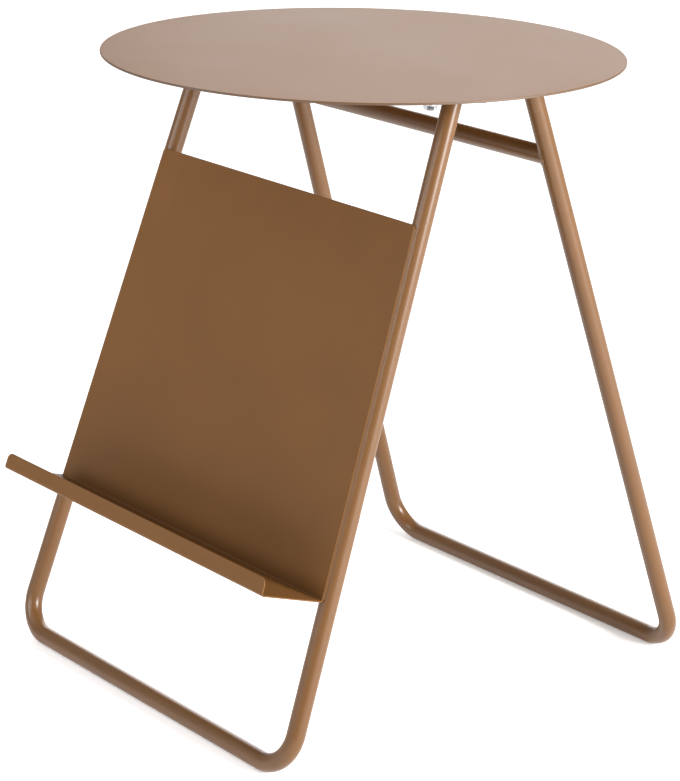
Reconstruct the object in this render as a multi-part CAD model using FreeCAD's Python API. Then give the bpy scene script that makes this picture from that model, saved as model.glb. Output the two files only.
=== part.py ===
import FreeCAD, Part
import math
import os

# A round metal side table with a magazine rack.
# Two bent-tube frames lean together under a thin round top, and a folded sheet on the front
# frame holds magazines. Everything is welded or bolted, so nothing moves.
# Millimetres, +Z up, the floor at z = 0. X runs across the rack, and the rack faces -Y.
# The origin is on the floor under the middle of the whole outline.
# Each shape is built about the tabletop's axis and shifted to the origin when it is written.

Vector = FreeCAD.Vector

# Tabletop: a disc of sheet steel
table_height = 550.0
top_diameter = 452.0
top_thickness = 2.0
top_edge_round = 0.6

# Frames: one bent tube each, given by its centre line
tube_diameter = 16.0
tube_wall = 1.5
tube_bend_radius = 32.0
foot_half_width = 195.0  # a leg's line at the base bar's height
foot_reach = 226.0       # base bar from the tabletop's axis
head_half_width = 165.0  # a leg's line at the tabletop's upper face
head_reach = 40.0

# Cross bar between the rear legs
crossbar_diameter = 16.0
crossbar_wall = 1.5
crossbar_drop = 69.0     # its centre line below the tabletop's upper face

# Magazine rack: one folded sheet, measured up the front legs from the base bar's centre line
sheet_thickness = 1.2
side_overhang = 1.7      # the sheet's sides past the front legs' centre lines
panel_bottom = 144.0
panel_top = 457.5
tray_depth = 66.0
tray_angle = 91.0        # degrees between panel and tray
lip_height = 15.0
fold_radius = 1.5        # inside each fold
panel_corner_radius = 3.0
lip_corner_radius = 6.0

# Leg plates: one on each leg's head, bolted up to the tabletop
plate_spacing = 54.0
plate_width = 22.0
hole_outset = 3.0        # a plate's holes stand further from the table's middle than its leg
plate_thickness = 3.0
bolt_clearance = 0.5     # around a bolt, in its plate

# Weld nuts under the tabletop
nut_across_flats = 11.0
nut_height = 4.0
thread_clearance = 0.1   # between a bolt's plain shank and its nut's plain bore

# Hexagon bolts, each with a plain washer under its head
bolt_diameter = 6.0
bolt_length = 8.0
bolt_tip = 0.6
head_across_flats = 10.0
head_height = 4.0
face_share = 0.94        # a hexagon's flat end face, of its width across flats
chamfer_angle = 30.0     # degrees that its turned-off corners slope from the flat end face
first_bolt_turn = 44.7   # degrees that the first bolt stops round from the X axis
bolt_turn = 63.0         # degrees that each bolt stops further round than the one before
washer_diameter = 12.0
washer_thickness = 1.6
washer_clearance = 0.2   # around a bolt, in its washer

# Welds
fit_up_gap = 0.2         # left between two pieces that a bead joins
head_bead = 2.4
crossbar_bead = 1.6
rack_bead = 1.8
stitch_length = 28.0
stitch_margin = 30.0     # from the panel's ends to the first and last stitch
stitches_per_leg = 3

# How far a cutting shape runs past what it cuts
overrun = 5.0

# Worked out from the sizes above
top_radius = top_diameter / 2
tube_radius = tube_diameter / 2
crossbar_radius = crossbar_diameter / 2
top_underside = table_height - top_thickness
nut_underside = top_underside - nut_height
plate_underside = nut_underside - plate_thickness
frame_rise = table_height - tube_radius
crossbar_height = table_height - crossbar_drop
sheet_back = tube_radius + fit_up_gap
hexagon_sides = 6
front = -1
rear = 1
corners = [(side, end) for end in (front, rear) for side in (-1, 1)]


def unit(vector):
    result = Vector(vector)
    result.normalize()
    return result


# The up-the-legs and out-of-the-frame directions of the front frame's plane
up_legs = unit(Vector(0, foot_reach - head_reach, frame_rise))
off_frame = Vector(0, -up_legs.z, up_legs.y)
legs_slant = math.hypot(foot_reach - head_reach, frame_rise)


def turn_of(before, corner, after):
    back = unit(before - corner)
    ahead = unit(after - corner)
    return back, ahead, back.getAngle(ahead) / 2


# The arc that rounds a corner: where it starts, its middle and where it ends
def corner_arc(before, corner, after, radius):
    back, ahead, half_angle = turn_of(before, corner, after)
    run = radius / math.tan(half_angle)
    inward = unit(back + ahead)
    middle = corner + inward * (radius / math.sin(half_angle) - radius)
    return corner + back * run, middle, corner + ahead * run


# The same corner moved to the inside by a wall's thickness
def inside_corner(before, corner, after, distance):
    back, ahead, half_angle = turn_of(before, corner, after)
    return corner + unit(back + ahead) * (distance / math.sin(half_angle))


def line(start, end):
    return Part.LineSegment(start, end).toShape()


# Straight runs through the points, with a tangent arc at each corner
def rounded_run(points, radius):
    edges = []
    start = points[0]
    for before, corner, after in zip(points, points[1:], points[2:]):
        enter, middle, leave = corner_arc(before, corner, after, radius)
        edges.append(line(start, enter))
        edges.append(Part.Arc(enter, middle, leave).toShape())
        start = leave
    edges.append(line(start, points[-1]))
    return edges


def prism(edges, along):
    return Part.Face(Part.Wire(edges)).extrude(along)


def rod(start, end, radius):
    along = end - start
    return Part.makeCylinder(radius, along.Length, start, along)


def hexagon(across_flats, height, base, turn_degrees):
    corner_radius = across_flats / 2 / math.cos(math.pi / hexagon_sides)
    points = []
    for side in range(hexagon_sides + 1):
        angle = math.radians(turn_degrees) + 2 * math.pi * side / hexagon_sides
        points.append(base + Vector(math.cos(angle), math.sin(angle), 0) * corner_radius)
    return Part.Face(Part.makePolygon(points)).extrude(Vector(0, 0, height))


# A hexagon whose lower corners are turned off, as on a nut or a bolt's head
def chamfered_hexagon(across_flats, height, base, turn_degrees):
    face_radius = across_flats / 2 * face_share
    spread = height / math.tan(math.radians(chamfer_angle))
    cone = Part.makeCone(face_radius, face_radius + spread, height, base, Vector(0, 0, 1))
    return hexagon(across_flats, height, base, turn_degrees).common(cone)


# A point on a leg's centre line at a height
def leg_point(side, end, height):
    foot = Vector(side * foot_half_width, end * foot_reach, tube_radius)
    head = Vector(side * head_half_width, end * head_reach, table_height)
    return foot + (head - foot) * ((height - tube_radius) / frame_rise)


# A whole frame's outside or bore: leg, base bar, leg, cut off flat under the leg plates
def frame_form(end, radius):
    points = [leg_point(-1, end, table_height), leg_point(-1, end, tube_radius),
              leg_point(1, end, tube_radius), leg_point(1, end, table_height)]
    path = Part.Wire(rounded_run(points, tube_bend_radius))
    mouth = Part.Wire(Part.makeCircle(radius, points[0], points[1] - points[0]))
    pipe = path.makePipeShell([mouth], True, True)
    above = Part.makeBox(top_diameter, top_diameter, table_height,
                         Vector(-top_radius, -top_radius, plate_underside))
    return pipe.cut(above)


def tabletop():
    disc = Part.makeCylinder(top_radius, top_thickness, Vector(0, 0, top_underside))
    rims = [edge for edge in disc.Edges if edge.isClosed()]
    return disc.makeFillet(min(top_edge_round, top_thickness / 3), rims)


# The cross bar's centre line, from one rear leg's to the other's
def crossbar_ends():
    return leg_point(-1, rear, crossbar_height), leg_point(1, rear, crossbar_height)


# A stretch of a rear leg about the cross bar's end, grown all round
def leg_at_crossbar(side, growth):
    half_length = tube_diameter + crossbar_diameter
    return rod(leg_point(side, rear, crossbar_height - half_length),
               leg_point(side, rear, crossbar_height + half_length), tube_radius + growth)


# The cross bar is coped to the legs, one fit-up gap short of them
def crossbar():
    left, right = crossbar_ends()
    bar = rod(left, right, crossbar_radius)
    bar = bar.cut(rod(left, right, crossbar_radius - crossbar_wall))
    for side in (-1, 1):
        bar = bar.cut(leg_at_crossbar(side, fit_up_gap))
    return bar


# A bead round each end of the cross bar, which also fills the fit-up gap under its wall
def crossbar_welds():
    left, right = crossbar_ends()
    inward = right - Vector(tube_diameter + crossbar_diameter, 0, 0)
    bead = rod(right, inward, crossbar_radius + crossbar_bead)
    bead = bead.cut(rod(left, right, crossbar_radius - crossbar_wall))
    bead = bead.common(leg_at_crossbar(1, fit_up_gap + crossbar_bead))
    bead = bead.cut(leg_at_crossbar(1, 0)).cut(crossbar())
    return Part.makeCompound([bead.mirror(Vector(), Vector(1, 0, 0)), bead])


def plate_places():
    return [leg_point(side, end, plate_underside) for side, end in corners]


# The two bolt places of a plate, from its middle
def bolt_places(middle):
    outset = math.copysign(hole_outset, middle.x)
    return [middle + Vector(outset, shift * plate_spacing / 2, 0) for shift in (-1, 1)]


# A plate with round ends about its two bolts
def leg_plate(middle):
    half_width = plate_width / 2
    half_spacing = plate_spacing / 2
    left_front = middle + Vector(-half_width, -half_spacing, 0)
    front_tip = middle + Vector(0, -half_spacing - half_width, 0)
    right_front = middle + Vector(half_width, -half_spacing, 0)
    right_rear = middle + Vector(half_width, half_spacing, 0)
    rear_tip = middle + Vector(0, half_spacing + half_width, 0)
    left_rear = middle + Vector(-half_width, half_spacing, 0)
    outline = [Part.Arc(left_front, front_tip, right_front).toShape(),
               line(right_front, right_rear),
               Part.Arc(right_rear, rear_tip, left_rear).toShape(),
               line(left_rear, left_front)]
    plate = prism(outline, Vector(0, 0, plate_thickness))
    for place in bolt_places(middle):
        hole = Part.makeCylinder(bolt_diameter / 2 + bolt_clearance, plate_thickness + 2 * overrun,
                                 place - Vector(0, 0, overrun))
        plate = plate.cut(hole)
    return plate


def weld_nut(place):
    base = Vector(place.x, place.y, nut_underside)
    bore = Part.makeCylinder(bolt_diameter / 2, nut_height + 2 * overrun,
                             base - Vector(0, 0, overrun))
    return chamfered_hexagon(nut_across_flats, nut_height, base, 0).cut(bore)


def bolt(place, turn_degrees):
    seat = place - Vector(0, 0, washer_thickness)
    head = chamfered_hexagon(head_across_flats, head_height, seat - Vector(0, 0, head_height),
                             turn_degrees)
    radius = bolt_diameter / 2 - thread_clearance
    shank = Part.makeCylinder(radius, bolt_length - bolt_tip, seat)
    tip = Part.makeCone(radius, radius - bolt_tip, bolt_tip,
                        seat + Vector(0, 0, bolt_length - bolt_tip), Vector(0, 0, 1))
    return head.fuse(shank).fuse(tip).removeSplitter()


def plate_bolts():
    places = [place for middle in plate_places() for place in bolt_places(middle)]
    return Part.makeCompound([bolt(place, first_bolt_turn + bolt_turn * number)
                              for number, place in enumerate(places)])


def washer(place):
    base = place - Vector(0, 0, washer_thickness)
    bore = Part.makeCylinder(bolt_diameter / 2 + washer_clearance,
                             washer_thickness + 2 * overrun, base - Vector(0, 0, overrun))
    return Part.makeCylinder(washer_diameter / 2, washer_thickness, base).cut(bore)


def plate_washers():
    return Part.makeCompound([washer(place) for middle in plate_places()
                              for place in bolt_places(middle)])


def top_weld_nuts():
    return Part.makeCompound([weld_nut(place) for middle in plate_places()
                              for place in bolt_places(middle)])


# The outline that a leaning leg has in a level plane, grown all round
def leg_section(side, end, height, growth):
    middle = leg_point(side, end, height)
    lean = leg_point(side, end, table_height) - leg_point(side, end, tube_radius)
    level = Vector(lean.x, lean.y, 0)
    long_half = tube_radius * lean.Length / lean.z + growth
    short_half = tube_radius + growth
    ellipse = Part.Ellipse(middle + unit(level) * long_half,
                           middle + unit(Vector(-lean.y, lean.x, 0)) * short_half, middle)
    return Part.Wire(ellipse.toShape())


# A fillet bead round each leg's head, against its plate
def head_welds(end):
    beads = []
    for side in (-1, 1):
        wide = leg_section(side, end, plate_underside, head_bead)
        narrow = leg_section(side, end, plate_underside - head_bead, fit_up_gap)
        bead = Part.makeLoft([narrow, wide], True, True)
        leg = rod(leg_point(side, end, plate_underside - tube_diameter * 2),
                  leg_point(side, end, table_height), tube_radius)
        beads.append(bead.cut(leg))
    return Part.makeCompound(beads)


# A point of the rack: across, up the legs and out from the tubes' centre lines
def on_rack(across, up, out):
    middle = Vector(across, -foot_reach, tube_radius)
    return middle + up_legs * up + off_frame * out


# How far out the front legs' centre lines are
def legs_half_width(up):
    return foot_half_width + (head_half_width - foot_half_width) * up / legs_slant


# The rack's sides run along the front legs
def rack_half_width(up):
    return legs_half_width(up) + side_overhang


# The outer corners of the folded sheet: panel, tray and lip, seen from its end
def fold_corners(across):
    tray_drop = math.radians(tray_angle - 90.0)
    panel_head = on_rack(across, panel_top, sheet_back)
    panel_foot = on_rack(across, panel_bottom, sheet_back)
    tray_end = (panel_foot + off_frame * (tray_depth * math.cos(tray_drop))
                - up_legs * (tray_depth * math.sin(tray_drop)))
    return [panel_head, panel_foot, tray_end, tray_end + up_legs * lip_height]


# What a rounded corner takes off a sheet: the corner outside the arc
def corner_waste(side, up, out, radius):
    corner = on_rack(side * rack_half_width(up), up, out)
    along_edge = on_rack(0, up, out)
    down_side = on_rack(side * rack_half_width(up - lip_height), up - lip_height, out)
    enter, middle, leave = corner_arc(along_edge, corner, down_side, radius)
    edges = [line(enter, corner), line(corner, leave), Part.Arc(leave, middle, enter).toShape()]
    waste = prism(edges, off_frame * (sheet_thickness + 2 * overrun))
    waste.translate(off_frame * -overrun)
    return waste


def magazine_rack():
    low = panel_bottom - overrun
    high = panel_top + overrun
    blank_half_width = rack_half_width(low) + overrun
    outer = fold_corners(-blank_half_width)
    head, foot, tray_end, lip_head = outer
    inner = [lip_head - off_frame * sheet_thickness,
             inside_corner(foot, tray_end, lip_head, sheet_thickness),
             inside_corner(head, foot, tray_end, sheet_thickness),
             head + off_frame * sheet_thickness]
    outline = rounded_run(outer, fold_radius + sheet_thickness)
    outline.append(line(outer[-1], inner[0]))
    outline += rounded_run(inner, fold_radius)
    outline.append(line(inner[-1], outer[0]))
    blank = prism(outline, Vector(2 * blank_half_width, 0, 0))

    out = sheet_back - overrun
    sides = [on_rack(-rack_half_width(low), low, out), on_rack(rack_half_width(low), low, out),
             on_rack(rack_half_width(high), high, out), on_rack(-rack_half_width(high), high, out)]
    mask = Part.Face(Part.makePolygon(sides + sides[:1]))
    rack = blank.common(mask.extrude(off_frame * (tray_depth + 2 * overrun)))

    lip_top = (lip_head - on_rack(-blank_half_width, 0, 0)).dot(up_legs)
    lip_out = (lip_head - on_rack(-blank_half_width, 0, 0)).dot(off_frame) - sheet_thickness
    for side in (-1, 1):
        rack = rack.cut(corner_waste(side, panel_top, sheet_back, panel_corner_radius))
        rack = rack.cut(corner_waste(side, lip_top, lip_out, lip_corner_radius))
    return rack


# Stitches in the groove between the panel's back and the inner side of each front leg
def rack_welds():
    groove_in = math.sqrt(tube_radius ** 2 - (sheet_back - rack_bead) ** 2)
    behind = Part.makeBox(top_diameter, table_height, tube_diameter)
    behind.Placement = FreeCAD.Placement(
        on_rack(-top_radius, 0, sheet_back),
        FreeCAD.Rotation(Vector(1, 0, 0), up_legs, off_frame, "XYZ"))
    first = panel_bottom + stitch_margin
    pitch = (panel_top - panel_bottom - 2 * stitch_margin - stitch_length) / (stitches_per_leg - 1)
    beads = []
    for side in (-1, 1):
        leg = rod(leg_point(side, front, tube_radius), leg_point(side, front, table_height),
                  tube_radius)
        for number in range(stitches_per_leg):
            low = first + number * pitch
            ends = [on_rack(side * (legs_half_width(up) - groove_in), up, sheet_back - rack_bead / 2)
                    for up in (low, low + stitch_length)]
            beads.append(rod(ends[0], ends[1], rack_bead).cut(leg).cut(behind))
    return Part.makeCompound(beads)


# The whole outline runs from the fold under the lip to the rear base bar
def axis_shift():
    head, foot, tray_end, lip_head = fold_corners(0)
    fold_middle = inside_corner(foot, tray_end, lip_head, fold_radius + sheet_thickness)
    front_reach = -(fold_middle.y - fold_radius - sheet_thickness)
    rear_reach = foot_reach + tube_radius
    return (front_reach - rear_reach) / 2


nodes = {
    "tabletop": tabletop(),
    "top_weld_nuts": top_weld_nuts(),
    "plate_bolts": plate_bolts(),
    "plate_washers": plate_washers(),
    "front_frame": frame_form(front, tube_radius).cut(frame_form(front, tube_radius - tube_wall)),
    "rear_frame": frame_form(rear, tube_radius).cut(frame_form(rear, tube_radius - tube_wall)),
    "rear_crossbar": crossbar(),
    "magazine_rack": magazine_rack(),
    "front_leg_welds": head_welds(front),
    "rear_leg_welds": head_welds(rear),
    "crossbar_welds": crossbar_welds(),
    "rack_welds": rack_welds(),
}
plate_names = ["front_left", "front_right", "rear_left", "rear_right"]
for name, middle in zip(plate_names, plate_places()):
    nodes["leg_plate_" + name] = leg_plate(middle)

os.makedirs("parts", exist_ok=True)
for name, shape in nodes.items():
    shape.translate(Vector(0, axis_shift(), 0))
    shape.exportStep("parts/" + name + ".step")
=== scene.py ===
import math
import bmesh
import bpy
from mathutils import Matrix, Vector


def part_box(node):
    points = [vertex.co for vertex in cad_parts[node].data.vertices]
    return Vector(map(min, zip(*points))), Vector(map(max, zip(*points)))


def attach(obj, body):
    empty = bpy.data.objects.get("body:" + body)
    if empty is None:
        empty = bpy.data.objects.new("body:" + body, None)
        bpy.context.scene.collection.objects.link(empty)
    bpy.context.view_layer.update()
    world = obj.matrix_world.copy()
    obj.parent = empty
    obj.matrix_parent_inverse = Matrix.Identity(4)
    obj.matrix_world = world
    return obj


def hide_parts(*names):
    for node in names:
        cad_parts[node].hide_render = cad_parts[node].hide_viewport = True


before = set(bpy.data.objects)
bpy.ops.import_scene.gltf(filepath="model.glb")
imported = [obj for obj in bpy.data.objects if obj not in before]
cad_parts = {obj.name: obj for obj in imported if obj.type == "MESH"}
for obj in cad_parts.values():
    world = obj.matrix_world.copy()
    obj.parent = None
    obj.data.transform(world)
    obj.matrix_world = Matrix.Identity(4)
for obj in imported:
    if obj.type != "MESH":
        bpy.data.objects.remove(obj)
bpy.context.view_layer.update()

# A round metal side table on two leaning bent-tube frames, with a folded sheet rack for
# magazines. Metres, +Z up, the rack faces -Y. Nothing on it moves.

mm = 0.001
xAxis = Vector((1, 0, 0))
yAxis = Vector((0, 1, 0))
zAxis = Vector((0, 0, 1))


# shader helpers
noiseRoughness = 0.55


class Value:                                   # a number that runs through a node tree
    def __init__(self, recipe, socket):
        self.recipe = recipe
        self.socket = socket

    def maths(self, operation, first, second):
        node = self.recipe.add("ShaderNodeMath", {"operation": operation}, {0: first, 1: second})
        return Value(self.recipe, node.outputs[0])

    def __add__(self, other):
        return self.maths("ADD", self, other)

    def __radd__(self, other):
        return self.maths("ADD", other, self)

    def __mul__(self, other):
        return self.maths("MULTIPLY", self, other)

    def __rmul__(self, other):
        return self.maths("MULTIPLY", other, self)


class Recipe:                                  # one material and the nodes that are added to it
    def __init__(self, name):
        self.material = bpy.data.materials.new(name)
        self.material.use_nodes = True
        self.tree = self.material.node_tree
        self.shader = self.tree.nodes["Principled BSDF"]

    def add(self, kind, settings, sockets):
        node = self.tree.nodes.new(kind)
        for name, setting in settings.items():
            setattr(node, name, setting)
        self.feed(node, sockets)
        return node

    def feed(self, node, sockets):
        for name, given in sockets.items():
            if isinstance(given, Value):
                given = given.socket
            if isinstance(given, bpy.types.NodeSocket):
                self.tree.links.new(given, node.inputs[name])
            else:
                node.inputs[name].default_value = given

    def noise(self, size, detail):             # size of a blotch, in metres
        here = self.add("ShaderNodeTexCoord", {}, {}).outputs["Object"]
        node = self.add("ShaderNodeTexNoise", {"noise_dimensions": "3D"},
                        {"Vector": here, "Scale": 1 / size, "Detail": detail,
                         "Roughness": noiseRoughness})
        return Value(self, node.outputs[0])

    def ramp(self, value, low, high):          # 0 up to low, 1 from high on
        node = self.add("ShaderNodeMapRange", {"clamp": True},
                        {"Value": value, "From Min": low, "From Max": high})
        return Value(self, node.outputs[0])

    def mix(self, share, first, second):
        node = self.add("ShaderNodeMix", {"data_type": "RGBA"}, {0: share, 6: first, 7: second})
        return node.outputs[2]

    def finish(self, sockets):
        self.feed(self.shader, sockets)
        return self.material


def shade(colour, factor):
    return tuple(part * factor for part in colour) + (1.0,)


# finishes
coat = {
    "hue": (1.0, 0.440, 0.124),
    # One powder coat for the whole table: these tones make the top and nuts lighter, the rack,
    # tubes, plates and welds darker and the tabletop's rim darkest, which paints light and shade
    # into the colour
    "topPaintedLightTone": 0.183, "rimPaintedShadeTone": 0.065, "rimShine": 0.62, "topRoughness": 0.50, "topShine": 0.20,
    "rackPaintedShadeTone": 0.134, "rackRoughness": 0.50, "rackShine": 0.13,
    "tubePaintedShadeTone": 0.111, "tubeRoughness": 0.32, "tubeShine": 0.40,
    "weldRoughness": 0.37,
    "blotchSize": 110.0 * mm, "blotchDetail": 3.0, "blotchRange": (0.3, 0.7),
    "blotchShare": 0.05, "blotchRoughness": 0.03,
    "peelSize": 1.4 * mm, "peelDetail": 1.0, "peelShare": 0.7, "peelRoughness": 0.08,
    "grainSize": 0.35 * mm, "grainDetail": 2.0, "grainShare": 0.3,
    "speckleRange": (0.62, 0.78), "speckleShare": 0.25, "speckleTone": 1.25,
    "bumpHeight": 0.12 * mm, "bumpStrength": 0.35, "fullPeel": 1.0, "tubePeel": 0.8,
    "weldPeel": 1.6,
}


# Baked powder: an even pigment with faint blotches, a fine orange peel and a finer grain
def powderCoat(name, tone, roughness, shine, peel):
    recipe = Recipe(name)
    colour = [part * tone for part in coat["hue"]]
    blotches = recipe.ramp(recipe.noise(coat["blotchSize"], coat["blotchDetail"]),
                           *coat["blotchRange"])
    peelWaves = recipe.noise(coat["peelSize"], coat["peelDetail"])
    grain = recipe.noise(coat["grainSize"], coat["grainDetail"])
    speckle = recipe.ramp(grain, *coat["speckleRange"])
    darker = shade(colour, 1 - coat["blotchShare"])
    lighter = shade(colour, 1 + coat["blotchShare"])
    pigment = recipe.mix(blotches, darker, lighter)
    pigment = recipe.mix(speckle * coat["speckleShare"], pigment,
                         shade(colour, coat["speckleTone"]))
    height = peelWaves * coat["peelShare"] + grain * coat["grainShare"]
    bump = recipe.add("ShaderNodeBump", {}, {"Height": height,
                                             "Strength": coat["bumpStrength"] * peel,
                                             "Distance": coat["bumpHeight"]})
    halfSwing = (coat["peelRoughness"] + coat["blotchRoughness"]) / 2
    return recipe.finish({
        "Base Color": pigment,
        "Roughness": (peelWaves * coat["peelRoughness"] + blotches * coat["blotchRoughness"]
                      + (roughness - halfSwing)),
        "Specular IOR Level": shine,
        "Normal": bump.outputs[0],
    })


zinc = {
    "dark": (0.50, 0.51, 0.54), "light": (0.66, 0.66, 0.68), "roughness": 0.12,
    "cloudSize": 3.0 * mm, "cloudDetail": 3.0, "cloudRoughness": 0.12,
    "markSize": 0.6 * mm, "markDetail": 2.0, "markRange": (0.55, 0.7), "markRoughness": 0.1,
    "bumpHeight": 0.05 * mm, "bumpStrength": 0.2,
}


# Bright zinc on a forged bolt: cool, slightly cloudy, with faint handling marks
def zincPlate():
    recipe = Recipe("brightZinc")
    clouds = recipe.noise(zinc["cloudSize"], zinc["cloudDetail"])
    marks = recipe.ramp(recipe.noise(zinc["markSize"], zinc["markDetail"]),
                        *zinc["markRange"])
    bump = recipe.add("ShaderNodeBump", {}, {"Height": clouds, "Strength": zinc["bumpStrength"],
                                             "Distance": zinc["bumpHeight"]})
    return recipe.finish({
        "Base Color": recipe.mix(clouds, shade(zinc["dark"], 1), shade(zinc["light"], 1)),
        "Metallic": 1.0,
        "Roughness": (clouds * zinc["cloudRoughness"] + marks * zinc["markRoughness"]
                      + zinc["roughness"]),
        "Normal": bump.outputs[0],
    })


# Lit and shaded copies of the one coat, each with its own tone: painted light on the top and
# nuts, painted shade on the rack, tubes, plates and welds
topCoat = powderCoat("topCoat", coat["topPaintedLightTone"], coat["topRoughness"], coat["topShine"],
                     coat["fullPeel"])
# The rim's copy of the coat has a much darker tone, painted shade on the edge, and more shine
rimPaintedShadeCoat = powderCoat("rimPaintedShadeCoat", coat["rimPaintedShadeTone"], coat["topRoughness"], coat["rimShine"],
                     coat["fullPeel"])
rackCoat = powderCoat("rackCoat", coat["rackPaintedShadeTone"], coat["rackRoughness"], coat["rackShine"],
                      coat["fullPeel"])
tubeCoat = powderCoat("tubeCoat", coat["tubePaintedShadeTone"], coat["tubeRoughness"], coat["tubeShine"],
                      coat["tubePeel"])
weldCoat = powderCoat("weldCoat", coat["tubePaintedShadeTone"], coat["weldRoughness"], coat["tubeShine"],
                      coat["weldPeel"])
brightZinc = zincPlate()
print("finishes mixed")


# shape helpers
shaping = {"mergeWithin": 0.001 * mm, "cutMergeWithin": 0.01 * mm, "smoothUpTo": 35.0,
           "sharpFrom": 60.0}


# Makes the bmesh a piece that stands for CAD nodes, smooth up to an angle, with flats kept flat
def makePiece(name, mesh, finishMaterial, nodes, smoothUpTo=shaping["smoothUpTo"]):
    bmesh.ops.remove_doubles(mesh, verts=mesh.verts, dist=shaping["mergeWithin"])
    bmesh.ops.recalc_face_normals(mesh, faces=mesh.faces)
    data = bpy.data.meshes.new(name)
    mesh.to_mesh(data)
    mesh.free()
    data.shade_smooth()
    data.set_sharp_from_angle(angle=math.radians(smoothUpTo))
    data.materials.append(finishMaterial)
    piece = bpy.data.objects.new(name, data)
    bpy.context.scene.collection.objects.link(piece)
    weighted = piece.modifiers.new("flatsStayFlat", "WEIGHTED_NORMAL")
    weighted.keep_sharp = True
    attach(piece, "root")
    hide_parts(*nodes)
    return piece


def vertsOf(geometry):
    return [item for item in geometry if isinstance(item, bmesh.types.BMVert)]


def edgesOf(geometry):
    return [item for item in geometry if isinstance(item, bmesh.types.BMEdge)]


def sharpEdges(mesh, degrees=shaping["sharpFrom"]):
    least = math.radians(degrees)
    return [edge for edge in mesh.edges
            if len(edge.link_faces) == 2 and edge.calc_face_angle() > least]


def roundEdges(mesh, edges, width, steps):
    bmesh.ops.bevel(mesh, geom=edges, offset=width, offset_type="OFFSET", segments=steps,
                    profile=0.5, affect="EDGES", material=-1, clamp_overlap=True)


# A matrix whose Z runs along a direction, with its origin at a point
def alongFrom(direction, point):
    return Matrix.Translation(point) @ direction.to_track_quat("Z", "Y").to_matrix().to_4x4()


# the table's lines
lines = {
    "height": 550.0 * mm, "topThickness": 2.0 * mm,
    "tubeRadius": 8.0 * mm, "bendRadius": 32.0 * mm,
    "footHalfWidth": 195.0 * mm, "footReach": 226.0 * mm,
    "headHalfWidth": 165.0 * mm, "headReach": 40.0 * mm,
    "nutHeight": 4.0 * mm, "plateThickness": 3.0 * mm,
}
topLow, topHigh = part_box("tabletop")
tableAxis = Vector(((topLow.x + topHigh.x) / 2, (topLow.y + topHigh.y) / 2, 0))
topUnderside = lines["height"] - lines["topThickness"]
nutUnderside = topUnderside - lines["nutHeight"]
plateUnderside = nutUnderside - lines["plateThickness"]
tubeRadius = lines["tubeRadius"]
frontEnd, rearEnd = -1, 1


# A point on a leg's centre line: side -1 or 1, front or rear end, at a height
def legPoint(side, end, height):
    foot = Vector((side * lines["footHalfWidth"], end * lines["footReach"], tubeRadius))
    head = Vector((side * lines["headHalfWidth"], end * lines["headReach"], lines["height"]))
    share = (height - tubeRadius) / (lines["height"] - tubeRadius)
    return tableAxis + foot + (head - foot) * share


def legLine(side, end):
    return (legPoint(side, end, lines["height"]) - legPoint(side, end, tubeRadius)).normalized()


# tabletop
tableTop = {"radius": 226.0 * mm, "edgeRound": 0.6 * mm, "edgeSteps": 4, "sides": 320,
            "rimSlope": 0.8}


def buildTableTop():
    mesh = bmesh.new()
    place = Matrix.Translation(tableAxis + zAxis * topUnderside)
    bmesh.ops.create_circle(mesh, cap_ends=True, segments=tableTop["sides"],
                            radius=tableTop["radius"], matrix=place)
    grown = bmesh.ops.extrude_face_region(mesh, geom=mesh.faces[:])
    bmesh.ops.translate(mesh, verts=vertsOf(grown["geom"]), vec=zAxis * lines["topThickness"])
    bmesh.ops.recalc_face_normals(mesh, faces=mesh.faces)
    roundEdges(mesh, sharpEdges(mesh), tableTop["edgeRound"], tableTop["edgeSteps"])
    piece = makePiece("tableTop", mesh, topCoat, ["tabletop"])
    # The rim's faces take the darker copy of the coat: painted shade on the edge
    piece.data.materials.append(rimPaintedShadeCoat)
    for face in piece.data.polygons:
        if abs(face.normal.z) < tableTop["rimSlope"]:
            face.material_index = 1
    return piece


buildTableTop()
print("tabletop made")


# bent-tube frames
tubes = {"sides": 56, "bendSteps": 22}


# One tube through four points: a ring is extruded along each run and spun round each bend
def buildFrame(name, end, node):
    points = [legPoint(-1, end, lines["height"]), legPoint(-1, end, tubeRadius),
              legPoint(1, end, tubeRadius), legPoint(1, end, lines["height"])]
    mesh = bmesh.new()
    first = alongFrom((points[1] - points[0]).normalized(), points[0])
    bmesh.ops.create_circle(mesh, cap_ends=False, segments=tubes["sides"], radius=tubeRadius,
                            matrix=first)
    rim = mesh.edges[:]
    here = points[0]
    for before, corner, after in zip(points, points[1:], points[2:]):
        back = (before - corner).normalized()
        ahead = (after - corner).normalized()
        halfAngle = back.angle(ahead) / 2
        bendStart = corner + back * (lines["bendRadius"] / math.tan(halfAngle))
        bendMiddle = corner + (back + ahead).normalized() * (lines["bendRadius"]
                                                             / math.sin(halfAngle))
        grown = bmesh.ops.extrude_edge_only(mesh, edges=rim)["geom"]
        bmesh.ops.translate(mesh, verts=vertsOf(grown), vec=bendStart - here)
        turned = bmesh.ops.spin(mesh, geom=vertsOf(grown) + edgesOf(grown), cent=bendMiddle,
                                axis=ahead.cross(back), angle=math.pi - 2 * halfAngle,
                                steps=tubes["bendSteps"], use_duplicate=False)["geom_last"]
        rim = edgesOf(turned)
        here = corner + ahead * (lines["bendRadius"] / math.tan(halfAngle))
    grown = bmesh.ops.extrude_edge_only(mesh, edges=rim)["geom"]
    bmesh.ops.translate(mesh, verts=vertsOf(grown), vec=points[-1] - here)
    everything = mesh.verts[:] + mesh.edges[:] + mesh.faces[:]
    bmesh.ops.bisect_plane(mesh, geom=everything, plane_co=zAxis * plateUnderside,
                           plane_no=zAxis, clear_outer=True)
    bmesh.ops.holes_fill(mesh, edges=[edge for edge in mesh.edges if edge.is_boundary], sides=0)
    return makePiece(name, mesh, tubeCoat, [node])


buildFrame("frontFrame", frontEnd, "front_frame")
buildFrame("rearFrame", rearEnd, "rear_frame")
print("tube frames bent")


# cross bar
crossBar = {"radius": 8.0 * mm, "drop": 69.0 * mm}
crossBarHeight = lines["height"] - crossBar["drop"]


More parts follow.
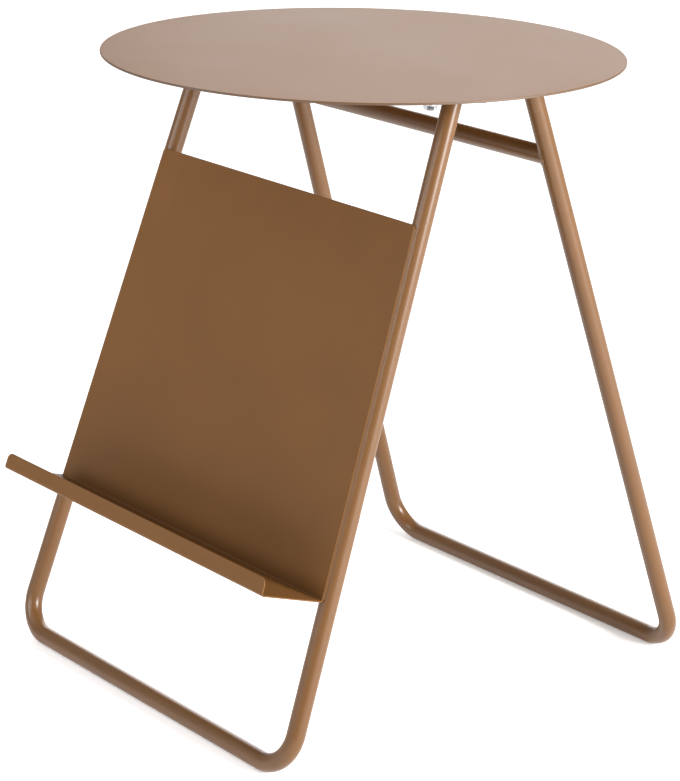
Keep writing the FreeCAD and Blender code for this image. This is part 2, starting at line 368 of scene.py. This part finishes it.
# A straight tube from one rear leg's centre line to the other's
def buildCrossBar():
    left = legPoint(-1, rearEnd, crossBarHeight)
    right = legPoint(1, rearEnd, crossBarHeight)
    mesh = bmesh.new()
    bmesh.ops.create_circle(mesh, cap_ends=True, segments=tubes["sides"],
                            radius=crossBar["radius"], matrix=alongFrom(xAxis, left))
    grown = bmesh.ops.extrude_face_region(mesh, geom=mesh.faces[:])
    bmesh.ops.translate(mesh, verts=vertsOf(grown["geom"]), vec=right - left)
    return makePiece("crossBar", mesh, tubeCoat, ["rear_crossbar"])


buildCrossBar()
print("cross bar made")


# magazine rack
rack = {
    "sheet": 1.2 * mm, "behind": 8.2 * mm, "sideOverhang": 1.7 * mm,
    "panelBottom": 144.0 * mm, "panelTop": 457.5 * mm,
    "trayDepth": 66.0 * mm, "trayAngle": 91.0, "lipHeight": 15.0 * mm,
    "foldInside": 1.5 * mm, "foldSteps": 10,
    "panelCorner": 3.0 * mm, "lipCorner": 6.0 * mm, "cornerSteps": 8,
    "edgeRound": 0.3 * mm, "edgeSteps": 3,
}
frontFoot = tableAxis + Vector((0, -lines["footReach"], tubeRadius))
frontHead = tableAxis + Vector((0, -lines["headReach"], lines["height"]))
upLegs = (frontHead - frontFoot).normalized()
offFrame = xAxis.cross(upLegs)
legSlant = (frontHead - frontFoot).length


# A point of the rack: across, up the legs and out from the tubes' centre lines
def onRack(across, up, out):
    return frontFoot + xAxis * across + upLegs * up + offFrame * out


def legsHalfWidth(up):
    narrowing = lines["headHalfWidth"] - lines["footHalfWidth"]
    return lines["footHalfWidth"] + narrowing * up / legSlant


def rackHalfWidth(up):
    return legsHalfWidth(up) + rack["sideOverhang"]


# The sheet's back as three flat faces, folded, its corners rounded, then given its thickness
def buildRack():
    drop = math.radians(rack["trayAngle"] - 90)
    trayOut = rack["behind"] + rack["trayDepth"] * math.cos(drop)
    trayUp = rack["panelBottom"] - rack["trayDepth"] * math.sin(drop)
    profile = [(rack["panelTop"], rack["behind"]), (rack["panelBottom"], rack["behind"]),
               (trayUp, trayOut), (trayUp + rack["lipHeight"], trayOut)]
    mesh = bmesh.new()
    rows = [[mesh.verts.new(onRack(side * rackHalfWidth(up), up, out)) for side in (-1, 1)]
            for up, out in profile]
    for upper, lower in zip(rows, rows[1:]):
        mesh.faces.new((upper[0], lower[0], lower[1], upper[1]))
    bmesh.ops.recalc_face_normals(mesh, faces=mesh.faces)
    folds = [edge for edge in mesh.edges if len(edge.link_faces) == 2]
    foldRadius = rack["foldInside"] + rack["sheet"]
    roundEdges(mesh, folds, foldRadius / math.tan(math.radians(rack["trayAngle"]) / 2),
               rack["foldSteps"])
    for row, size in ((rows[0], rack["panelCorner"]), (rows[-1], rack["lipCorner"])):
        bmesh.ops.bevel(mesh, geom=row, offset=size, offset_type="OFFSET",
                        segments=rack["cornerSteps"], profile=0.5, affect="VERTICES",
                        material=-1)
    panel = max(mesh.faces, key=lambda face: face.calc_area())
    if panel.normal.dot(offFrame) > 0:
        bmesh.ops.reverse_faces(mesh, faces=mesh.faces)
    bmesh.ops.solidify(mesh, geom=mesh.faces[:], thickness=rack["sheet"])
    bmesh.ops.recalc_face_normals(mesh, faces=mesh.faces)
    roundEdges(mesh, sharpEdges(mesh), rack["edgeRound"], rack["edgeSteps"])
    return makePiece("magazineRack", mesh, rackCoat, ["magazine_rack"])


buildRack()
print("magazine rack folded")


# weld beads
welds = {
    "headBead": 2.3 * mm, "barBead": 1.3 * mm, "stitchBead": 1.8 * mm,
    "ripple": 0.07, "ringRipples": 30, "stepsPerRipple": 6, "beadSides": 14,
    "stitchLength": 28.0 * mm, "stitchMargin": 30.0 * mm, "stitchesPerLeg": 3,
    "seamBead": 0.5 * mm, "seamSunk": 0.2 * mm,
    "stitchRipples": 17, "stitchTaper": 14, "leastTaper": 0.02,
    "headOut": 0.15, "headDrop": 0.1, "intoPlate": 0.5 * mm, "smoothUpTo": 60.0,
}


def ripple(turns):                             # the scalloped crests that a weld pool leaves
    return 1 + welds["ripple"] * (abs(math.cos(math.pi * turns)) - 0.5)


# A rippled ring about Z: a small circle spun round, then swollen and drawn in along its way
def beadRing(mesh, ringRadius, beadRadius):
    upright = Matrix.Translation(xAxis * ringRadius) @ Matrix.Rotation(math.pi / 2, 4, "X")
    start = bmesh.ops.create_circle(mesh, cap_ends=False, segments=welds["beadSides"],
                                    radius=beadRadius, matrix=upright)["verts"]
    edges = {edge for vert in start for edge in vert.link_edges}
    old = set(mesh.verts) - set(start)
    bmesh.ops.spin(mesh, geom=start + list(edges), cent=Vector(), axis=zAxis,
                   angle=2 * math.pi, steps=welds["ringRipples"] * welds["stepsPerRipple"],
                   use_merge=True, use_duplicate=False)
    ring = [vert for vert in mesh.verts if vert not in old]
    for vert in ring:
        angle = math.atan2(vert.co.y, vert.co.x)
        middle = Vector((math.cos(angle), math.sin(angle), 0)) * ringRadius
        factor = ripple(angle / (2 * math.pi) * welds["ringRipples"])
        vert.co = middle + (vert.co - middle) * factor
    return ring


# A bead round each leg's head, in the corner that it makes with its plate
def buildHeadWelds(name, end, node):
    mesh = bmesh.new()
    for side in (-1, 1):
        axis = legLine(side, end)
        across = axis.cross(yAxis).normalized()
        along = across.cross(axis)
        head = legPoint(side, end, plateUnderside)
        ringRadius = tubeRadius + welds["headBead"] * welds["headOut"]
        for vert in beadRing(mesh, ringRadius, welds["headBead"]):
            flat = across * vert.co.x + along * vert.co.y
            level = vert.co.z - welds["headBead"] * welds["headDrop"] - flat.z
            vert.co = head + flat + axis * (level / axis.z)
    everything = mesh.verts[:] + mesh.edges[:] + mesh.faces[:]
    bmesh.ops.bisect_plane(mesh, geom=everything, plane_no=zAxis, clear_outer=True,
                           plane_co=zAxis * (plateUnderside + welds["intoPlate"]))
    bmesh.ops.holes_fill(mesh, edges=[edge for edge in mesh.edges if edge.is_boundary], sides=0)
    return makePiece(name, mesh, weldCoat, [node], welds["smoothUpTo"])


# A bead round each end of the cross bar, which follows the leg's round side
def buildBarWelds():
    mesh = bmesh.new()
    for side in (-1, 1):
        axis = legLine(side, rearEnd)
        end = legPoint(side, rearEnd, crossBarHeight)
        deep = axis.cross(xAxis).normalized()
        for vert in beadRing(mesh, crossBar["radius"], welds["barBead"]):
            offset = yAxis * vert.co.x + zAxis * vert.co.y
            aside = max(-1.0, min(1.0, offset.dot(deep) / tubeRadius))
            reach = tubeRadius * math.sqrt(1 - aside * aside)
            legX = end.x + axis.x / axis.z * offset.z
            vert.co = Vector((legX, end.y, end.z)) + offset + xAxis * (vert.co.z - side * reach)
    return makePiece("crossBarWelds", mesh, weldCoat, ["crossbar_welds"],
                     welds["smoothUpTo"])


# A fine bead that closes the corner between a front leg and the panel's side edge
def addSeam(mesh, side):
    bead = welds["seamBead"]
    clear = bead - welds["seamSunk"]
    aside = rack["sideOverhang"] + clear
    out = math.sqrt((tubeRadius + clear) ** 2 - aside ** 2)
    low, high = [onRack(side * (legsHalfWidth(up) + aside), up, out)
                 for up in (rack["panelBottom"] + rack["panelCorner"],
                            rack["panelTop"] - rack["panelCorner"])]
    bmesh.ops.create_cone(mesh, cap_ends=True, segments=welds["beadSides"], radius1=bead,
                          radius2=bead, depth=(high - low).length,
                          matrix=alongFrom((high - low).normalized(), (low + high) / 2))


# Short beads in the groove between the panel's back and the inner side of each front leg, and
# a seam along its outer side
def buildRackWelds():
    bead = welds["stitchBead"]
    grooveIn = math.sqrt(tubeRadius ** 2 - (rack["behind"] - bead) ** 2)
    free = rack["panelTop"] - rack["panelBottom"] - 2 * welds["stitchMargin"]
    pitch = (free - welds["stitchLength"]) / (welds["stitchesPerLeg"] - 1)
    cuts = welds["stitchRipples"] * welds["stepsPerRipple"]
    mesh = bmesh.new()
    for side in (-1, 1):
        addSeam(mesh, side)
        for number in range(welds["stitchesPerLeg"]):
            low = rack["panelBottom"] + welds["stitchMargin"] + number * pitch
            start, stop = [onRack(side * (legsHalfWidth(up) - grooveIn), up,
                                  rack["behind"] - bead / 2)
                           for up in (low, low + welds["stitchLength"])]
            along = (stop - start).normalized()
            ring = bmesh.ops.create_circle(mesh, cap_ends=True, segments=welds["beadSides"],
                                           radius=bead, matrix=alongFrom(along, start))["verts"]
            for step in range(cuts):
                edges = {edge for vert in ring for edge in vert.link_edges
                         if edge.other_vert(vert) in ring}
                grown = bmesh.ops.extrude_edge_only(mesh, edges=list(edges))["geom"]
                ring = vertsOf(grown)
                bmesh.ops.translate(mesh, verts=ring, vec=(stop - start) / cuts)
                share = (step + 1) / cuts
                middle = start + (stop - start) * share
                taper = math.sqrt(max(welds["leastTaper"],
                                      1 - abs(2 * share - 1) ** welds["stitchTaper"]))
                factor = ripple(share * welds["stitchRipples"]) * taper
                for vert in ring:
                    vert.co = middle + (vert.co - middle).normalized() * bead * factor
            bmesh.ops.holes_fill(mesh, edges=[edge for edge in mesh.edges if edge.is_boundary],
                                 sides=0)
    return makePiece("rackWelds", mesh, weldCoat, ["rack_welds"],
                     welds["smoothUpTo"])


buildHeadWelds("frontLegWelds", frontEnd, "front_leg_welds")
buildHeadWelds("rearLegWelds", rearEnd, "rear_leg_welds")
buildBarWelds()
buildRackWelds()
print("weld beads laid")


# leg plates, bolts, nuts
plates = {"spacing": 54.0 * mm, "width": 22.0 * mm, "hole": 7.0 * mm,
          "holeOutset": 3.0 * mm, "sides": 48, "edgeRound": 0.5 * mm, "edgeSteps": 3}
bolts = {"acrossFlats": 10.0 * mm, "headHeight": 4.0 * mm, "faceShare": 0.94,
         "chamfer": 30.0, "washerFace": 0.3 * mm, "washerShare": 0.92, "dish": 0.3 * mm,
         "dishMargin": 1.0 * mm, "dishSlope": 0.7 * mm,
         "shank": 5.8 * mm, "length": 8.0 * mm, "tip": 0.6 * mm, "firstTurn": 44.7,
         "turn": 63.0, "edgeRound": 0.2 * mm, "edgeSteps": 2, "sharpFrom": 40.0,
         "longEdge": 1.2 * mm, "sides": 40}
washers = {"diameter": 12.0 * mm, "hole": 6.4 * mm, "thickness": 1.6 * mm, "sides": 48,
           "edgeRound": 0.2 * mm, "edgeSteps": 2}
nuts = {"acrossFlats": 11.0 * mm, "faceShare": 0.94, "chamfer": 30.0}
hexagonSides = 6
chamferSteps = 48
corners = [(side, end) for end in (frontEnd, rearEnd) for side in (-1, 1)]


def boltPlaces(side, middle):
    outset = xAxis * (side * plates["holeOutset"])
    return [middle + outset + yAxis * (shift * plates["spacing"] / 2) for shift in (-1, 1)]


# A round-ended plate with two holes, from its outline and its holes' rims
def buildLegPlate(name, side, end, node):
    middle = legPoint(side, end, plateUnderside)
    mesh = bmesh.new()
    halfStep = Matrix.Rotation(math.pi / plates["sides"], 4, "Z")
    outline = bmesh.ops.create_circle(mesh, segments=plates["sides"], radius=plates["width"] / 2,
                                      matrix=halfStep)["verts"]
    for vert in outline:
        vert.co.y += math.copysign(plates["spacing"] / 2, vert.co.y)
    for place in boltPlaces(side, Vector()):
        bmesh.ops.create_circle(mesh, segments=plates["sides"], radius=plates["hole"] / 2,
                                matrix=Matrix.Translation(place))
    bmesh.ops.translate(mesh, verts=mesh.verts, vec=middle)
    bmesh.ops.triangle_fill(mesh, edges=mesh.edges[:], use_beauty=True)
    grown = bmesh.ops.extrude_face_region(mesh, geom=mesh.faces[:])
    bmesh.ops.translate(mesh, verts=vertsOf(grown["geom"]), vec=zAxis * lines["plateThickness"])
    bmesh.ops.recalc_face_normals(mesh, faces=mesh.faces)
    roundEdges(mesh, sharpEdges(mesh), plates["edgeRound"], plates["edgeSteps"])
    return makePiece(name, mesh, tubeCoat, [node])


# Turns the corners of a hexagon's end off, as on a cone about Z with its mouth at a height
def turnCornersOff(mesh, geometry, faceRadius, endHeight, outward, chamfer):
    slope = math.radians(chamfer)
    for step in range(chamferSteps):
        angle = 2 * math.pi * step / chamferSteps
        aside = Vector((math.cos(angle), math.sin(angle), 0))
        normal = aside * math.sin(slope) + zAxis * (outward * math.cos(slope))
        cut = bmesh.ops.bisect_plane(mesh, geom=geometry, plane_co=aside * faceRadius
                                     + zAxis * endHeight, plane_no=normal, clear_outer=True)
        rim = [edge for edge in edgesOf(cut["geom_cut"]) if edge.is_boundary]
        if rim:
            bmesh.ops.edgeloop_fill(mesh, edges=rim)
        geometry = mesh.verts[:] + mesh.edges[:] + mesh.faces[:]


# A hexagonal block on a base height, with one corner towards +X
def hexagon(mesh, acrossFlats, base, height):
    radius = acrossFlats / 2 / math.cos(math.pi / hexagonSides)
    bmesh.ops.create_circle(mesh, cap_ends=True, segments=hexagonSides, radius=radius,
                            matrix=Matrix.Translation(zAxis * base)
                            @ Matrix.Rotation(-math.pi / 2, 4, "Z"))
    grown = bmesh.ops.extrude_face_region(mesh, geom=mesh.faces[:])
    bmesh.ops.translate(mesh, verts=vertsOf(grown["geom"]), vec=zAxis * height)


# A bolt, head down, with its bearing face at z = 0
def boltMesh():
    mesh = bmesh.new()
    bearing = bolts["washerFace"]
    hexagon(mesh, bolts["acrossFlats"], -bolts["headHeight"], bolts["headHeight"] - bearing)
    geometry = mesh.verts[:] + mesh.edges[:] + mesh.faces[:]
    turnCornersOff(mesh, geometry, bolts["acrossFlats"] / 2 * bolts["faceShare"],
                   -bolts["headHeight"], -1, bolts["chamfer"])
    bmesh.ops.remove_doubles(mesh, verts=mesh.verts, dist=shaping["cutMergeWithin"])
    bmesh.ops.recalc_face_normals(mesh, faces=mesh.faces)
    end = min(mesh.faces, key=lambda face: face.calc_center_median().z)
    bmesh.ops.inset_region(mesh, faces=[end], thickness=bolts["dishMargin"], depth=0)
    bmesh.ops.inset_region(mesh, faces=[end], thickness=bolts["dishSlope"],
                           depth=-bolts["dish"])
    roundEdges(mesh, [edge for edge in sharpEdges(mesh, bolts["sharpFrom"])
                      if edge.calc_length() > bolts["longEdge"]], bolts["edgeRound"],
               bolts["edgeSteps"])
    bearingRadius = bolts["acrossFlats"] / 2 * bolts["washerShare"]
    shankRadius = bolts["shank"] / 2
    tipStart = bolts["length"] - bolts["tip"]
    for radius, endRadius, low, high in (
            (bearingRadius, bearingRadius, -2 * bearing, 0.0),
            (shankRadius, shankRadius, -bearing, tipStart),
            (shankRadius, shankRadius - bolts["tip"], tipStart, bolts["length"])):
        bmesh.ops.create_cone(mesh, cap_ends=True, segments=bolts["sides"], radius1=radius,
                              radius2=endRadius, depth=high - low,
                              matrix=Matrix.Translation(zAxis * (low + high) / 2))
    return mesh


# A plain washer under z = 0
def washerMesh():
    mesh = bmesh.new()
    for diameter in (washers["diameter"], washers["hole"]):
        bmesh.ops.create_circle(mesh, segments=washers["sides"], radius=diameter / 2)
    bmesh.ops.bridge_loops(mesh, edges=mesh.edges[:])
    grown = bmesh.ops.extrude_face_region(mesh, geom=mesh.faces[:])
    bmesh.ops.translate(mesh, verts=vertsOf(grown["geom"]), vec=-zAxis * washers["thickness"])
    bmesh.ops.recalc_face_normals(mesh, faces=mesh.faces)
    roundEdges(mesh, sharpEdges(mesh), washers["edgeRound"], washers["edgeSteps"])
    return mesh


# A weld nut that stands on z = 0, its lower corners turned off
def nutMesh():
    mesh = bmesh.new()
    hexagon(mesh, nuts["acrossFlats"], 0, lines["nutHeight"])
    geometry = mesh.verts[:] + mesh.edges[:] + mesh.faces[:]
    turnCornersOff(mesh, geometry, nuts["acrossFlats"] / 2 * nuts["faceShare"], 0, -1,
                   nuts["chamfer"])
    bmesh.ops.remove_doubles(mesh, verts=mesh.verts, dist=shaping["cutMergeWithin"])
    bmesh.ops.recalc_face_normals(mesh, faces=mesh.faces)
    return mesh


# Copies one mesh to each place; turns holds the first copy's turn and the step to the next
def spread(name, source, places, turns, finishMaterial, node):
    mesh = bmesh.new()
    data = bpy.data.meshes.new(name + "Pattern")
    source.to_mesh(data)
    source.free()
    first, step = turns
    for number, place in enumerate(places):
        old = set(mesh.verts)
        mesh.from_mesh(data)
        fresh = [vert for vert in mesh.verts if vert not in old]
        bmesh.ops.transform(mesh, verts=fresh, matrix=Matrix.Translation(place)
                            @ Matrix.Rotation(math.radians(first + step * number), 4, "Z"))
    bpy.data.meshes.remove(data)
    return makePiece(name, mesh, finishMaterial, [node])


plateNames = {(-1, frontEnd): "FrontLeft", (1, frontEnd): "FrontRight",
              (-1, rearEnd): "RearLeft", (1, rearEnd): "RearRight"}
for (side, end), word in plateNames.items():
    endWord = "front" if end == frontEnd else "rear"
    sideWord = "left" if side < 0 else "right"
    buildLegPlate("legPlate" + word, side, end, f"leg_plate_{endWord}_{sideWord}")
holeSpots = [spot for side, end in corners
             for spot in boltPlaces(side, legPoint(side, end, plateUnderside))]
boltSpots = [spot - zAxis * washers["thickness"] for spot in holeSpots]
nutSpots = [spot + zAxis * lines["plateThickness"] for spot in holeSpots]
spread("plateBolts", boltMesh(), boltSpots, (bolts["firstTurn"], bolts["turn"]), brightZinc,
       "plate_bolts")
spread("plateWashers", washerMesh(), holeSpots, (0, 0), brightZinc,
       "plate_washers")
spread("topWeldNuts", nutMesh(), nutSpots, (0, 0), topCoat, "top_weld_nuts")
print("plates, bolts, washers and nuts made")


# studio
# Pixels are counted from the picture's upper left corner
picture = {"width": 680, "height": 781, "focal": 2622.6, "middleX": 327.56, "middleY": 357.97}
camera = {"azimuth": 50.690, "elevation": 16.947, "roll": 1.239,
          "place": (1.7127, -1.4272, 0.9540), "sensor": 36.0, "seesUpTo": 100.0}
studio = {"worldStrength": 0.569, "worldColour": (1.0, 1.0, 1.0)}
floor = {"half": 12.0, "tone": (0.94, 0.94, 0.94), "cloudTone": 1.02, "cloudSize": 0.8,
         "detail": 2.0, "roughness": 0.9, "shine": 0.1, "glow": 0.33}
darkCard = {"distance": 2.35, "width": 2.0, "height": 0.6, "tone": (0.004, 0.004, 0.004),
            "threadTone": 2.0, "weave": 0.01, "detail": 2.0, "roughness": 0.9, "shine": 0.1}
softboxes = {
    "rightSoftbox": {"place": (2.6, 0.7, 1.1), "target": (0, 0, 0.3), "size": 1.0,
                     "power": 172.0},
    "backSoftbox": {"place": (-3.8, 4.37, 1.86), "target": (0, 0, 0.5), "size": 3.7,
                    "power": 126.0},
    "cameraSoftbox": {"place": (0.4, -3.0, 1.6), "target": (0, 0, 0.3), "size": 0.9,
                      "power": 22.0},
    "frontSoftbox": {"place": (-0.77, -2.07, 0.85), "target": (0, 0, 0.3), "size": 0.5,
                     "power": 14.0},
    "overFrontSoftbox": {"place": (-0.6, -2.0, 2.6), "target": (0, 0, 0.3), "size": 1.8,
                         "power": 9.4},
}


def addCamera():
    around = math.radians(camera["azimuth"])
    above = math.radians(camera["elevation"])
    back = Vector((math.sin(around) * math.cos(above), -math.cos(around) * math.cos(above),
                   math.sin(above)))
    right = zAxis.cross(back).normalized()
    up = back.cross(right)
    roll = math.radians(camera["roll"])
    rolledRight = right * math.cos(roll) + up * math.sin(roll)
    rolledUp = up * math.cos(roll) - right * math.sin(roll)
    longSide = max(picture["width"], picture["height"])
    data = bpy.data.cameras.new("tableCamera")
    data.sensor_width = camera["sensor"]
    data.lens = picture["focal"] * camera["sensor"] / longSide
    data.shift_x = (picture["width"] / 2 - picture["middleX"]) / longSide
    data.shift_y = (picture["middleY"] - picture["height"] / 2) / longSide
    data.clip_end = camera["seesUpTo"]
    view = bpy.data.objects.new("tableCamera", data)
    turn = Matrix((rolledRight, rolledUp, back)).transposed().to_4x4()
    view.matrix_world = Matrix.Translation(Vector(camera["place"])) @ turn
    bpy.context.scene.collection.objects.link(view)
    bpy.context.scene.camera = view


def addSoftbox(name, box):
    data = bpy.data.lights.new(name, "AREA")
    data.shape = "SQUARE"
    data.size = box["size"]
    data.energy = box["power"]
    lamp = bpy.data.objects.new(name, data)
    place = Vector(box["place"])
    lamp.matrix_world = alongFrom((place - Vector(box["target"])).normalized(), place)
    bpy.context.scene.collection.objects.link(lamp)


def addFloor():
    recipe = Recipe("paleFloor")
    clouds = recipe.noise(floor["cloudSize"], floor["detail"])
    recipe.finish({"Base Color": recipe.mix(clouds, shade(floor["tone"], 1),
                                            shade(floor["tone"], floor["cloudTone"])),
                   "Roughness": floor["roughness"], "Specular IOR Level": floor["shine"],
                   "Emission Color": (1, 1, 1, 1), "Emission Strength": floor["glow"]})
    mesh = bmesh.new()
    bmesh.ops.create_grid(mesh, x_segments=1, y_segments=1, size=floor["half"])
    data = bpy.data.meshes.new("studioFloor")
    mesh.to_mesh(data)
    mesh.free()
    data.materials.append(recipe.material)
    ground = bpy.data.objects.new("studioFloor", data)
    bpy.context.scene.collection.objects.link(ground)


# A black card low behind the camera, which only reflections meet, for the dark hexagon facets
def addDarkCard():
    recipe = Recipe("blackCard")
    weave = recipe.noise(darkCard["weave"], darkCard["detail"])
    recipe.finish({"Base Color": recipe.mix(weave, shade(darkCard["tone"], 1),
                                            shade(darkCard["tone"], darkCard["threadTone"])),
                   "Roughness": darkCard["roughness"],
                   "Specular IOR Level": darkCard["shine"]})
    around = math.radians(camera["azimuth"])
    away = Vector((math.sin(around), -math.cos(around), 0))
    middle = away * darkCard["distance"] + zAxis * darkCard["height"] / 2
    size = Matrix.Diagonal((darkCard["width"] / 2, darkCard["height"] / 2, 1, 1))
    mesh = bmesh.new()
    bmesh.ops.create_grid(mesh, x_segments=1, y_segments=1, size=1,
                          matrix=Matrix.Translation(middle) @ Matrix.Rotation(around, 4, "Z")
                          @ Matrix.Rotation(math.pi / 2, 4, "X") @ size)
    data = bpy.data.meshes.new("darkCard")
    mesh.to_mesh(data)
    mesh.free()
    data.materials.append(recipe.material)
    card = bpy.data.objects.new("darkCard", data)
    card.visible_camera = False
    card.visible_shadow = False
    card.visible_diffuse = False
    bpy.context.scene.collection.objects.link(card)


def addWorld():
    world = bpy.data.worlds.new("studioWorld")
    world.use_nodes = True
    background = world.node_tree.nodes["Background"]
    background.inputs["Color"].default_value = studio["worldColour"] + (1,)
    background.inputs["Strength"].default_value = studio["worldStrength"]
    bpy.context.scene.world = world


addCamera()
addFloor()
addDarkCard()
addWorld()
for name, box in softboxes.items():
    addSoftbox(name, box)
bpy.context.scene.view_settings.view_transform = "Standard"
print("studio set up")
